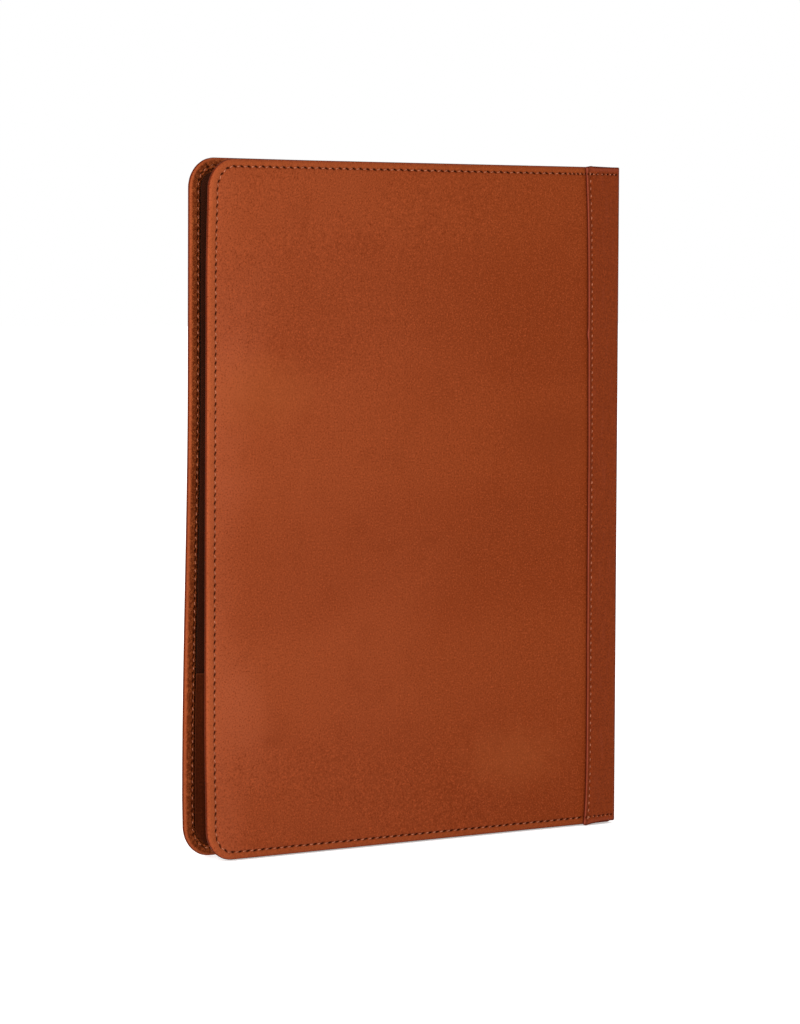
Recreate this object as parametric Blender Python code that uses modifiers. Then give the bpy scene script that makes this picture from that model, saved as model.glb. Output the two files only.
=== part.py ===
"""Letter-size leather notebook cover (a padfolio), closed and standing on its bottom edge.

Units are metres and +Z is up. The fore-edge is at -X, the spine at +X, and the front cover's
outer face looks towards -Y. The origin is at the middle of the bottom of the whole object.

Two stiffened leather covers are joined by a separate strip of leather that folds round the
spine. The rear cover holds a writing pad, whose backing card slides into a low pocket. The
front cover holds a document pocket with three card slots on it.
"""

import math

import bmesh
import bpy
from mathutils import Matrix, Vector

# Driving dimensions
HEIGHT = 0.317
WIDTH = 0.242
COVER_FACE = 0.0081  # from the middle plane to a cover's outer face
CORNER = 0.014  # fore-edge corners of the covers
GAP = 0.0003  # between two pieces that touch

LEATHER = 0.0011
TURNED_EDGE = 0.003  # thickness where the leather is turned over the cover's edge
TURNED_ROUND = 0.0008
MARGIN = 0.005  # width of the turned edge, inside the cover
BOARD = 0.0008
LINING = 0.0004

STRIP = 0.001
STRIP_WIDTH = 0.0192  # from the strip's sewn edge to the spine's face
FOLD_RADIUS = 0.002  # middle surface of the strip, at each fold

THREAD = 0.0004
THREAD_SUNK = 0.00025  # depth of the thread's centre below the leather's face
GROOVE = 0.001
STITCH_INSET = 0.0035  # from the top and bottom edges
STITCH_INSET_FORE = 0.0045
STITCH_CLEAR = 0.0015  # between the end of one stitch line and another line
SEAM_INSET = 0.0023  # from the strip's sewn edge
THREAD_CLIMB = 0.0025  # length over which the thread climbs onto the strip

PAD_WIDTH = 0.216
PAD_HEIGHT = 0.298
PAD_SPINE_EDGE = 0.104
PAD_BOTTOM = 0.008
PAD_BACK_ROOM = 0.0008  # between the lining and the backing card
PAPER = 0.004
CARD = 0.0006
TAPE = 0.00025
TAPE_DROP = 0.018

POCKET_LEATHER = 0.0007
PAD_POCKET_TOP = 0.084
POCKET_FLANGE = 0.003
POCKET_PAD_ROOM = 0.001  # between the pad's edge and the pocket's flange
DOCUMENT_POCKET_EDGE = 0.097
DOCUMENT_POCKET_LEATHER = 0.0005
SLOT_LEATHER = 0.0005
SLOT_SIZE = (0.1, 0.06)
SLOT_LEFT = -0.06
SLOT_BOTTOM = 0.15
SLOT_STEP = 0.018

LOOP_OUTER = 0.0046
LOOP_WALL = 0.0009
LOOP_TAB = 0.0008
LOOP_TAB_HALF = 0.004
LOOP_MEET = 0.0001  # how far the loop sinks into its tab
LOOP_SPAN = (0.13, 0.19)

# Derived dimensions
FORE_X = -WIDTH / 2
SPINE_X = WIDTH / 2
HALF_DEPTH = COVER_FACE + GAP + STRIP
FOLD_START_X = SPINE_X - STRIP / 2 - FOLD_RADIUS
FOLD_START_Y = HALF_DEPTH - STRIP / 2 - FOLD_RADIUS
COVER_END_X = FOLD_START_X - 2 * GAP
STRIP_EDGE_X = SPINE_X - STRIP_WIDTH
BOARD_DEPTH = LEATHER + GAP  # from a cover's outer face
LINING_DEPTH = BOARD_DEPTH + BOARD + GAP
LINED_DEPTH = LINING_DEPTH + LINING
INSIDE = MARGIN + GAP  # inset of what lies inside the turned edge
INNER_FACE = COVER_FACE - LINED_DEPTH  # from the middle plane to the lining
SPINE_BOARD_X = SPINE_X - STRIP - GAP
SPINE_LINING_X = SPINE_BOARD_X - BOARD - GAP
LOOP_TAB_X = SPINE_LINING_X - LINING - GAP - LOOP_TAB
LOOP_X = LOOP_TAB_X - LOOP_OUTER + LOOP_MEET
PAD_TOP = PAD_BOTTOM + PAD_HEIGHT
PAD_FORE_EDGE = PAD_SPINE_EDGE - PAD_WIDTH
CARD_BACK = INNER_FACE - PAD_BACK_ROOM
CARD_FRONT = CARD_BACK - CARD
PAD_POCKET_FACE = CARD_FRONT - GAP - POCKET_LEATHER
PAPER_BACK = CARD_FRONT - GAP
PAPER_FRONT = PAPER_BACK - PAPER

# A strip folded round a corner turns about a point a little inside the sharp corner of its
# middle surface, so that its length hardly changes as it opens.
FOLD_AXIS_INSET = FOLD_RADIUS * (1 - math.pi / 4)
FOLD_AXIS_X = SPINE_X - STRIP / 2 - FOLD_AXIS_INSET
FOLD_AXIS_Y = HALF_DEPTH - STRIP / 2 - FOLD_AXIS_INSET

FRONT = -1
REAR = 1
ARC_STEPS = 8

TAN = (0.305, 0.058, 0.016)
TAN_STRIP = (0.235, 0.036, 0.011)
BROWN = (0.07, 0.018, 0.008)
LINING_BROWN = (0.03, 0.01, 0.005)
THREAD_TAN = (0.36, 0.13, 0.06)
CARD_GREY = (0.42, 0.36, 0.28)
PAPER_WHITE = (0.86, 0.85, 0.8)
TAPE_BROWN = (0.16, 0.05, 0.03)


def clear_scene():
    for old in list(bpy.data.objects):
        bpy.data.objects.remove(old, do_unlink=True)


def new_collection(name):
    collection = bpy.data.collections.new(name)
    bpy.context.scene.collection.children.link(collection)
    return collection


def new_material(name, colour, roughness):
    material = bpy.data.materials.new(name)
    material.use_nodes = True
    shader = material.node_tree.nodes["Principled BSDF"]
    shader.inputs["Base Color"].default_value = (*colour, 1)
    shader.inputs["Roughness"].default_value = roughness
    shader.inputs["Metallic"].default_value = 0
    return material


def new_pivot(name, place, parent=None):
    """An empty on a joint's axis, which the moving pieces hang from."""
    pivot = bpy.data.objects.new(name, None)
    pivot.empty_display_size = 0.02
    pivot.matrix_world = Matrix.Translation(place)
    parts.objects.link(pivot)
    if parent:
        attach(pivot, parent)
    return pivot


def attach(piece, pivot):
    bpy.context.view_layer.update()
    piece.parent = pivot
    piece.matrix_parent_inverse = pivot.matrix_world.inverted()
    return piece


def as_mesh(curve_object, collection):
    """Replace a curve object by a closed mesh object with its name and place."""
    bpy.context.view_layer.update()
    evaluated = curve_object.evaluated_get(bpy.context.evaluated_depsgraph_get())
    mesh = bpy.data.meshes.new_from_object(evaluated)
    name = curve_object.name
    place = curve_object.matrix_world.copy()
    bpy.data.objects.remove(curve_object)
    cage = bmesh.new()
    cage.from_mesh(mesh)
    bmesh.ops.remove_doubles(cage, verts=cage.verts, dist=1e-6)
    bmesh.ops.recalc_face_normals(cage, faces=cage.faces)
    cage.to_mesh(mesh)
    cage.free()
    mesh.name = name
    piece = bpy.data.objects.new(name, mesh)
    piece.matrix_world = place
    collection.objects.link(piece)
    return piece


def outline_piece(name, outlines, thickness, place, collection):
    """A flat piece: closed outlines in its own XY plane, and a thickness along its own Z."""
    curve = bpy.data.curves.new(name, "CURVE")
    curve.dimensions = "2D"
    curve.fill_mode = "BOTH"
    curve.extrude = thickness / 2
    for outline in outlines:
        spline = curve.splines.new("POLY")
        spline.points.add(len(outline) - 1)
        spline.use_cyclic_u = True
        for point, (x, y) in zip(spline.points, outline):
            point.co = (x, y, 0, 1)
    piece = bpy.data.objects.new(name, curve)
    piece.matrix_world = place
    collection.objects.link(piece)
    return as_mesh(piece, collection)


def upright_plate(name, outline, faces, collection):
    """A plate parallel to the covers: an (x, z) outline between two values of y."""
    low, high = sorted(faces)
    place = Matrix.Translation((0, (low + high) / 2, 0)) @ Matrix.Rotation(math.pi / 2, 4, "X")
    return outline_piece(name, [outline], high - low, place, collection)


def level_section(name, outlines, span, collection):
    """A piece with the same (x, y) section all the way between two heights."""
    low, high = span
    place = Matrix.Translation((0, 0, (low + high) / 2))
    return outline_piece(name, outlines, high - low, place, collection)


def tube(name, points, diameter, collection):
    """A round thread through the points, with filled ends."""
    curve = bpy.data.curves.new(name, "CURVE")
    curve.dimensions = "3D"
    curve.bevel_depth = diameter / 2
    curve.bevel_resolution = 2
    curve.use_fill_caps = True
    spline = curve.splines.new("POLY")
    spline.points.add(len(points) - 1)
    for point, place in zip(spline.points, points):
        point.co = (*place, 1)
    piece = bpy.data.objects.new(name, curve)
    collection.objects.link(piece)
    return piece


def hide_cutter(cutter):
    cutter.hide_render = True
    cutter.display_type = "WIRE"
    return cutter


def groove_cutter(name, points):
    return hide_cutter(as_mesh(tube(name, points, GROOVE, cutters), cutters))


def cut(piece, cutter):
    modifier = piece.modifiers.new("cut_" + cutter.name, "BOOLEAN")
    modifier.operation = "DIFFERENCE"
    modifier.solver = "EXACT"
    modifier.object = cutter


def round_edges(piece, width, segments=2):
    modifier = piece.modifiers.new("round_edges", "BEVEL")
    modifier.width = width
    modifier.segments = segments
    modifier.limit_method = "ANGLE"
    modifier.angle_limit = math.radians(60)


def finish(piece, material, pivot=None):
    piece.data.materials.clear()
    piece.data.materials.append(material)
    if piece.type == "MESH":
        piece.data.shade_smooth()
        piece.data.set_sharp_from_angle(angle=math.radians(35))
    if pivot:
        attach(piece, pivot)
    return piece


def arc(centre, radii, start, end, steps=ARC_STEPS):
    """Points of an elliptical arc, from one angle in degrees to another, ends included."""
    angles = [math.radians(start + (end - start) * i / steps) for i in range(steps + 1)]
    return [(centre[0] + radii[0] * math.cos(a), centre[1] + radii[1] * math.sin(a)) for a in angles]


def cover_outline(inset, end_x, top=None, top_round=True):
    """(x, z) outline of a cover, this far inside its edges, with square corners at the spine."""
    radius = CORNER - inset
    x = FORE_X + CORNER
    top = HEIGHT - inset if top is None else top
    lower = arc((x, CORNER), (radius, radius), 270, 180)
    upper = arc((x, HEIGHT - CORNER), (radius, radius), 180, 90) if top_round else [(FORE_X + inset, top)]
    return [(end_x, inset)] + lower + upper + [(end_x, top)]


def box_outline(low_x, high_x, low_z, high_z):
    return [(low_x, low_z), (high_x, low_z), (high_x, high_z), (low_x, high_z)]


def depth(side, *depths):
    """y of each depth below a cover's outer face."""
    return [side * (COVER_FACE - d) for d in depths]


def perimeter_path(side):
    """Stitch line round a cover, which climbs onto the strip at the top and the bottom."""
    face = COVER_FACE - THREAD_SUNK
    strip_face = HALF_DEPTH - THREAD_SUNK
    corner_x = FORE_X + CORNER
    radii = (CORNER - STITCH_INSET_FORE, CORNER - STITCH_INSET)
    top = HEIGHT - STITCH_INSET
    climb = [
        (FOLD_START_X - GAP - STITCH_CLEAR, strip_face),
        (STRIP_EDGE_X - GAP, strip_face),
        (STRIP_EDGE_X - THREAD_CLIMB, face),
    ]
    start = [(x, side * y, top) for x, y in climb]
    end = [(x, side * y, STITCH_INSET) for x, y in reversed(climb)]
    corners = arc((corner_x, HEIGHT - CORNER), radii, 90, 180) + arc((corner_x, CORNER), radii, 180, 270)
    return start + [(x, side * face, z) for x, z in corners] + end


def seam_path(side):
    """Stitch line down the strip, beside its sewn edge."""
    x = STRIP_EDGE_X + SEAM_INSET
    y = side * (HALF_DEPTH - THREAD_SUNK)
    end = STITCH_INSET + STITCH_CLEAR
    return [(x, y, end), (x, y, HEIGHT / 2), (x, y, HEIGHT - end)]


def spine_path(height):
    """Stitch line across the spine's face."""
    x = SPINE_X - THREAD_SUNK
    half = FOLD_START_Y - STITCH_CLEAR
    return [(x, -half, height), (x, 0, height), (x, half, height)]


def make_cover(side, name, materials, pivot):
    """A cover: leather with turned edges, its board, its lining and its stitching."""
    perimeter = groove_cutter(name + "_perimeter_groove", perimeter_path(side))
    recess_outline = cover_outline(MARGIN, FOLD_START_X + MARGIN)
    recess = upright_plate(
        name + "_recess", recess_outline, depth(side, LEATHER, TURNED_EDGE + LEATHER), cutters
    )
    leather = upright_plate(
        name + "_cover_leather", cover_outline(0, COVER_END_X), depth(side, 0, TURNED_EDGE), parts
    )
    round_edges(leather, TURNED_ROUND)
    cut(leather, hide_cutter(recess))
    cut(leather, perimeter)
    finish(leather, materials["cover_leather"], pivot)

    inside = cover_outline(INSIDE, COVER_END_X - GAP)
    faces = depth(side, BOARD_DEPTH, BOARD_DEPTH + BOARD)
    board = upright_plate(name + "_cover_board", inside, faces, parts)
    finish(board, materials["board"], pivot)

    faces = depth(side, LINING_DEPTH, LINED_DEPTH)
    lining = upright_plate(name + "_lining", inside, faces, parts)
    finish(lining, materials["lining"], pivot)

    thread = tube(name + "_perimeter_stitching", perimeter_path(side), THREAD, parts)
    finish(thread, materials["thread"], pivot)
    make_flap(side, name, materials, pivot, perimeter)


def make_flap(side, name, materials, pivot, perimeter):
    """The part of the strip that lies on a cover, with the seam that sews it down."""
    seam = groove_cutter(name + "_seam_groove", seam_path(side))
    outline = box_outline(STRIP_EDGE_X, FOLD_START_X - GAP, 0, HEIGHT)
    faces = (side * (COVER_FACE + GAP), side * HALF_DEPTH)
    flap = upright_plate("spine_strip_" + name + "_flap", outline, faces, parts)
    cut(flap, perimeter)
    cut(flap, seam)
    finish(flap, materials["strip_leather"], pivot)
    thread = tube(name + "_seam_stitching", seam_path(side), THREAD, parts)
    finish(thread, materials["thread"], pivot)


def make_spine(materials, pivot):
    """The strip's middle, which turns both corners, with its board, lining and stitching."""
    outer = FOLD_RADIUS + STRIP / 2
    inner = FOLD_RADIUS - STRIP / 2
    section = []
    for radius, ends in ((outer, ((-90, 0), (0, 90))), (inner, ((90, 0), (0, -90)))):
        for start, end in ends:
            centre_y = FOLD_START_Y if start + end > 0 else -FOLD_START_Y
            section += arc((FOLD_START_X, centre_y), (radius, radius), start, end)
    strip = level_section("spine_strip", [section], (0, HEIGHT), parts)
    for name, height in (("spine_bottom", STITCH_INSET), ("spine_top", HEIGHT - STITCH_INSET)):
        cut(strip, groove_cutter(name + "_groove", spine_path(height)))
        thread = tube(name + "_stitching", spine_path(height), THREAD, parts)
        finish(thread, materials["thread"], pivot)
    finish(strip, materials["strip_leather"], pivot)

    half = FOLD_START_Y - BOARD
    ends = (INSIDE, HEIGHT - INSIDE)
    layers = (
        ("spine_board", SPINE_BOARD_X, SPINE_LINING_X + GAP, "board"),
        ("spine_lining", SPINE_LINING_X, SPINE_LINING_X - LINING, "lining"),
    )
    for name, high_x, low_x, slot in layers:
        piece = level_section(name, [box_outline(low_x, high_x, -half, half)], ends, parts)
        finish(piece, materials[slot], pivot)


def make_pen_loop(materials, pivot):
    """A round leather loop on a flat tab, sewn to the inside of the spine."""
    meet = math.degrees(math.acos((LOOP_TAB_X - LOOP_X) / LOOP_OUTER))
    round_part = arc((LOOP_X, 0), (LOOP_OUTER, LOOP_OUTER), meet, 360 - meet, 3 * ARC_STEPS)
    tab = box_outline(LOOP_TAB_X, LOOP_TAB_X + LOOP_TAB, -LOOP_TAB_HALF, LOOP_TAB_HALF)
    outer = tab + round_part
    bore = LOOP_OUTER - LOOP_WALL
    inner = arc((LOOP_X, 0), (bore, bore), 0, 360, 3 * ARC_STEPS)[:-1]
    loop = level_section("pen_loop", [outer, inner], LOOP_SPAN, parts)
    finish(loop, materials["pocket_leather"], pivot)


def make_document_pocket(materials, pivot):
    """A full-height pocket inside the front cover, open towards the spine, with card slots."""
    back = -(INNER_FACE - GAP)
    plate_back = back + GAP
    face = plate_back + DOCUMENT_POCKET_LEATHER
    outline = cover_outline(INSIDE, DOCUMENT_POCKET_EDGE)
    space = cover_outline(INSIDE + POCKET_FLANGE, DOCUMENT_POCKET_EDGE + MARGIN)
    pocket = upright_plate("document_pocket", outline, (back, face), parts)
    hollow = upright_plate("document_space", space, (back - GAP, plate_back), cutters)
    cut(pocket, hide_cutter(hollow))
    finish(pocket, materials["pocket_leather"], pivot)

    width, height = SLOT_SIZE
    for tier, level in enumerate(("upper", "middle", "lower")):
        low_y = face + GAP + tier * (SLOT_LEATHER + GAP)
        low_z = SLOT_BOTTOM + (2 - tier) * SLOT_STEP
        slot_outline = box_outline(SLOT_LEFT, SLOT_LEFT + width, low_z, low_z + height)
        faces = (low_y, low_y + SLOT_LEATHER)
        slot = upright_plate("card_slot_" + level, slot_outline, faces, parts)
        finish(slot, materials["pocket_leather"], pivot)


def make_pad_pocket(materials):
    """A low pocket across the rear cover, open at the top, for the pad's backing card."""
    back = INNER_FACE - GAP
    outline = cover_outline(INSIDE, COVER_END_X - 3 * GAP, PAD_POCKET_TOP, False)
    fore_flange = PAD_FORE_EDGE - POCKET_PAD_ROOM
    spine_flange = PAD_SPINE_EDGE + POCKET_PAD_ROOM
    low_z = INSIDE + POCKET_FLANGE - POCKET_PAD_ROOM
    space = box_outline(fore_flange, spine_flange, low_z, PAD_POCKET_TOP + MARGIN)
    pocket = upright_plate("pad_pocket", outline, (PAD_POCKET_FACE, back), parts)
    faces = (PAD_POCKET_FACE + POCKET_LEATHER, back + GAP)
    cut(pocket, hide_cutter(upright_plate("pad_space", space, faces, cutters)))
    finish(pocket, materials["pocket_leather"])


def make_pad(materials, pivot):
    """A writing pad: backing card, paper block and the tape that binds their tops."""
    outline = box_outline(PAD_FORE_EDGE, PAD_SPINE_EDGE, PAD_BOTTOM, PAD_TOP)
    card = upright_plate("pad_backing_card", outline, (CARD_FRONT, CARD_BACK), parts)
    finish(card, materials["backing_card"], pivot)

    paper = upright_plate("pad_paper_block", outline, (PAPER_FRONT, PAPER_BACK), parts)
    step = box_outline(
        PAD_FORE_EDGE - MARGIN, PAD_SPINE_EDGE + MARGIN, PAD_BOTTOM - MARGIN, PAD_POCKET_TOP + GAP
    )
    relief = upright_plate(
        "paper_relief", step, (PAD_POCKET_FACE - GAP, PAPER_BACK + MARGIN), cutters
    )
    cut(paper, hide_cutter(relief))
    finish(paper, materials["paper"], pivot)

    front = PAPER_FRONT - GAP
    back = CARD_BACK + GAP
    top = PAD_TOP + GAP
    drop = PAD_TOP - TAPE_DROP
    section = [(front - TAPE, drop), (front, drop), (front, top), (back, top), (back, drop)]
    section += [(back + TAPE, drop), (back + TAPE, top + TAPE), (front - TAPE, top + TAPE)]
    middle = Vector(((PAD_FORE_EDGE + PAD_SPINE_EDGE) / 2, 0, 0))
    turn = Matrix.Rotation(math.pi / 2, 4, "Z") @ Matrix.Rotation(math.pi / 2, 4, "X")
    place = Matrix.Translation(middle) @ turn
    tape = outline_piece("pad_binding_tape", [section], PAD_WIDTH, place, parts)
    finish(tape, materials["binding_tape"], pivot)


clear_scene()
parts = new_collection("leather_notebook_cover")
cutters = new_collection("cutters")

palette = {
    "cover_leather": new_material("cover_leather", TAN, 0.55),
    "strip_leather": new_material("strip_leather", TAN_STRIP, 0.55),
    "pocket_leather": new_material("pocket_leather", BROWN, 0.6),
    "lining": new_material("lining", LINING_BROWN, 0.8),
    "board": new_material("board", CARD_GREY, 0.9),
    "thread": new_material("thread", THREAD_TAN, 0.7),
    "backing_card": new_material("backing_card", CARD_GREY, 0.9),
    "paper": new_material("paper", PAPER_WHITE, 0.85),
    "binding_tape": new_material("binding_tape", TAPE_BROWN, 0.7),
}

spine_pivot = new_pivot("rear_fold", Vector((FOLD_AXIS_X, FOLD_AXIS_Y, 0)))
front_pivot = new_pivot("front_fold", Vector((FOLD_AXIS_X, -FOLD_AXIS_Y, 0)), spine_pivot)
pad_pivot = new_pivot("pad_slide", Vector((0, PAPER_BACK, PAD_BOTTOM)))

make_cover(REAR, "rear", palette, None)
make_cover(FRONT, "front", palette, front_pivot)
make_spine(palette, spine_pivot)
make_pen_loop(palette, spine_pivot)
make_document_pocket(palette, front_pivot)
make_pad_pocket(palette)
make_pad(palette, pad_pivot)
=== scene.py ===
"""Looks of the leather notebook cover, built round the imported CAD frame.

Metres in the row frame: +Z up, fore-edge at -X, spine at +X, front cover towards -Y.
"""

import math

import bmesh
import bpy
import numpy as np
from mathutils import Matrix, Vector
from mathutils.geometry import delaunay_2d_cdt


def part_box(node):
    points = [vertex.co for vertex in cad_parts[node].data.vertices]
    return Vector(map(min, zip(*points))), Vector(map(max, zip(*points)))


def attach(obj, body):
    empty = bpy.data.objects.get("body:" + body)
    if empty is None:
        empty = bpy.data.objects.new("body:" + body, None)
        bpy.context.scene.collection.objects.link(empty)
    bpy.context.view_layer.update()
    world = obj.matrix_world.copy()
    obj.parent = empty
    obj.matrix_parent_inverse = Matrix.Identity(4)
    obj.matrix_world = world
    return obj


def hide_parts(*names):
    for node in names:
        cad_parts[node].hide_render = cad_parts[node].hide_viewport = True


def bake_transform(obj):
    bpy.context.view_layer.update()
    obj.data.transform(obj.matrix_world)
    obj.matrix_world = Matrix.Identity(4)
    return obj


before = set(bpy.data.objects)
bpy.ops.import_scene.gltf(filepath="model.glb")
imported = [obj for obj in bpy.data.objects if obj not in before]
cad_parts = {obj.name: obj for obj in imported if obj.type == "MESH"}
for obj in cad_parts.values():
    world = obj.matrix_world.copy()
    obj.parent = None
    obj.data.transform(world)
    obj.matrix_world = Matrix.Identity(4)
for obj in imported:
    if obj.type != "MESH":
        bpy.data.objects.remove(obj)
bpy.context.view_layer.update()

MM = 0.001
FRONT = -1
REAR = 1
BODY = {FRONT: "front_cover", REAR: "rear_cover"}
NAME = {FRONT: "front", REAR: "rear"}

# Sizes read from the frame
leather_low, leather_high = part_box("front_cover_leather")
flap_low, flap_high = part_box("spine_strip_front_flap")
strip_low, strip_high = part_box("spine_strip")
FORE_X = leather_low.x
END_X = leather_high.x
HEIGHT = leather_high.z
FACE = -leather_low.y
EDGE = leather_high.y - leather_low.y
LINING_Y = -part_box("front_lining")[1].y
STRIP_X = flap_low.x
STRIP_FACE = -flap_low.y
STRIP_THICK = flap_high.y - flap_low.y
SPINE_X = strip_high.x
FOLD_X = strip_low.x

# Sizes of the sewing and of the turned edges
CORNER = 14 * MM
PITCH = 3.6 * MM
TIGHT_PITCH = 2.55 * MM  # where the stitching nears and crosses the strip
INSET_TOP = 3.5 * MM
INSET_FORE = 4.5 * MM
SEAM_X = STRIP_X + 2.25 * MM
MARGIN = 4.9 * MM
THREAD_R = 0.27 * MM
FOLD_OUTER = 2.5 * MM

# Soft, level bands of darker dye across the hide
BAND_STEP = 115 * MM
BAND_START = 0.45
# Tone multiplied in where edges are rubbed and where shade is painted: under the strip's nose, beside its
# seam and along rounded edges that turn from the light
RUB_AND_SHADE_TONE = (0.33, 0.20, 0.14)
# Painted shade inside the needle holes
HOLE_SHADE_TONE = (0.014, 0.0015, 0.0006)

# The writing pad's ruling
RULE_STEP = 7.1 * MM
HEAD_Z = 269.5 * MM
MARGIN_RULE_X = -80.5 * MM

rng = np.random.default_rng(7)


# ---- small helpers


def smooth(low, high, value):
    t = np.clip((value - low) / (high - low), 0, 1)
    return t * t * (3 - 2 * t)


def bell(value, width):
    return np.exp(-((value / width) ** 2))


def wave_noise(values, scale, seed, octaves=3):
    """Smooth noise from -1 to 1 along one line: a few sine waves with seeded phases."""
    draw = np.random.default_rng(seed)
    total = np.zeros_like(values, dtype=float)
    weight = 0.0
    for octave in range(octaves):
        for wave in range(3):
            frequency = (1.7**octave) * draw.uniform(0.7, 1.4) / scale
            total += np.sin(math.tau * frequency * values + draw.uniform(0, 6.28)) * 0.6**octave
            weight += 0.6**octave
    return total / weight


def patch_noise(x, z, scale, seed, octaves=3):
    """Smooth noise from about -1 to 1 over a surface."""
    draw = np.random.default_rng(seed)
    total = np.zeros_like(x, dtype=float)
    weight = 0.0
    for octave in range(octaves):
        for wave in range(4):
            angle = draw.uniform(0, math.pi)
            frequency = (1.9**octave) * draw.uniform(0.7, 1.3) / scale
            across = x * math.cos(angle) + z * math.sin(angle)
            total += np.sin(math.tau * frequency * across + draw.uniform(0, 6.28)) * 0.55**octave
            weight += 0.55**octave
    return total / weight * 1.6


def settle(points, side):
    """The slight bow and splay that soft leather takes on each cover, fading out at the spine."""
    points = np.array(points, float)
    x, z = points[:, 0], points[:, 2]
    free = np.clip((0.095 - x) / 0.216, 0, 1) ** 1.5
    if side == REAR:
        splay = 0.7 + 3.9 * smooth(0.215, 0.035, z) - 0.8 * smooth(0.03, 0.0, z)
        points[:, 1] += splay * MM * free
        points[:, 2] += 0.8 * MM * free * smooth(0.12, HEIGHT, z)
    else:
        curl = smooth(0.262, HEIGHT, z) + 0.8 * smooth(0.06, 0.0, z)
        points[:, 1] += (0.3 * np.sin(math.pi * np.clip(z / 0.23, 0, 1)) - 0.1 - 1.5 * curl) * MM * free
    return points


def mesh_object(name, points, faces, material):
    mesh = bpy.data.meshes.new(name)
    mesh.from_pydata([tuple(p) for p in points], [], faces)
    mesh.materials.append(material)
    piece = bpy.data.objects.new(name, mesh)
    bpy.context.scene.collection.objects.link(piece)
    return piece


def set_values(mesh, values):
    for key, numbers in values.items():
        layer = mesh.attributes.new(key, "FLOAT", "POINT")
        layer.data.foreach_set("value", np.array(numbers, np.float32))


def new_object(name, points, faces, material, values=None, sharp=None):
    """A closed, smooth-shaded piece that remembers its points at rest for the materials."""
    piece = mesh_object(name, points, faces, material)
    mesh = piece.data
    build = bmesh.new()
    build.from_mesh(mesh)
    loose = [e for e in build.edges if e.is_boundary]
    if loose:
        bmesh.ops.holes_fill(build, edges=loose, sides=0)
    bmesh.ops.recalc_face_normals(build, faces=build.faces)
    build.to_mesh(mesh)
    build.free()
    mesh.shade_smooth()
    if sharp:
        mesh.set_sharp_from_angle(angle=math.radians(sharp))
    rest = mesh.attributes.new("rest", "FLOAT_VECTOR", "POINT")
    rest.data.foreach_set("vector", np.array(points, np.float32).ravel())
    set_values(mesh, values or {})
    return piece


def place(piece, body, replaced=()):
    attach(piece, body)
    if replaced:
        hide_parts(*replaced)
    return piece


def lattice(rows, columns, closed=False, joined=False):
    """Quads of a grid of points kept row after row; closed joins each row's ends, joined the rows'."""
    faces = []
    for r in range(rows if joined else rows - 1):
        a, b = r * columns, (r + 1) % rows * columns
        for c in range(columns if closed else columns - 1):
            d = (c + 1) % columns
            faces.append((a + c, a + d, b + d, b + c))
    return faces


def triangulate(outline, spacing, clear):
    """Points and triangles that fill an (x, z) outline, with a grid of points inside it."""
    outline = np.array(outline)
    low, high = outline.min(0), outline.max(0)
    xs = np.arange(low[0] + clear, high[0] - clear, spacing)
    zs = np.arange(low[1] + clear, high[1] - clear, spacing)
    grid = np.array([(x, z) for x in xs for z in zs])
    grid = grid[distance_inside(grid, outline) > clear * 0.8]
    points = [Vector(p) for p in outline] + [Vector(p) for p in grid]
    count = len(outline)
    edges = [(i, (i + 1) % count) for i in range(count)]
    made = delaunay_2d_cdt(points, edges, [], 1, 1e-9)
    return np.array([tuple(v) for v in made[0]]), [tuple(f) for f in made[2]]


def distance_inside(points, outline):
    """Distance of each point from a closed outline, negative outside it."""
    best = np.full(len(points), 1e9)
    winding = np.zeros(len(points))
    for p, q in zip(outline, np.roll(outline, -1, axis=0)):
        d = q - p
        length = max(float(d @ d), 1e-18)
        t = np.clip(((points - p) @ d) / length, 0, 1)
        near = points - (p + t[:, None] * d)
        best = np.minimum(best, np.hypot(near[:, 0], near[:, 1]))
        crosses = (p[1] > points[:, 1]) != (q[1] > points[:, 1])
        with np.errstate(divide="ignore", invalid="ignore"):
            at = p[0] + (points[:, 1] - p[1]) / (q[1] - p[1]) * d[0]
        winding += crosses & (points[:, 0] < at)
    return np.where(winding % 2 == 1, best, -best)


def spaced_outline(corners, spacing):
    """The outline's corners with points added along its longer sides."""
    made = []
    for i, p in enumerate(corners):
        q = corners[(i + 1) % len(corners)]
        steps = max(1, int(math.dist(p, q) / spacing))
        made += [(p[0] + (q[0] - p[0]) * k / steps, p[1] + (q[1] - p[1]) * k / steps) for k in range(steps)]
    return made


def arc(centre, radius, start, end, steps):
    angles = [math.radians(start + (end - start) * i / steps) for i in range(steps + 1)]
    return [(centre[0] + radius * math.cos(a), centre[1] + radius * math.sin(a)) for a in angles]


def panel_outline(inset, end_x, top=None):
    """A cover's (x, z) outline this far inside its edge; top cuts it off at a height."""
    radius = CORNER - inset
    x = FORE_X + CORNER
    lower = arc((x, CORNER), radius, 270, 180, 12)
    if top is None:
        upper = arc((x, HEIGHT - CORNER), radius, 180, 90, 12)
        top = HEIGHT - inset
    else:
        upper = [(FORE_X + inset, top)]
    return [(end_x, inset)] + lower + upper + [(end_x, top)]


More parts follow.
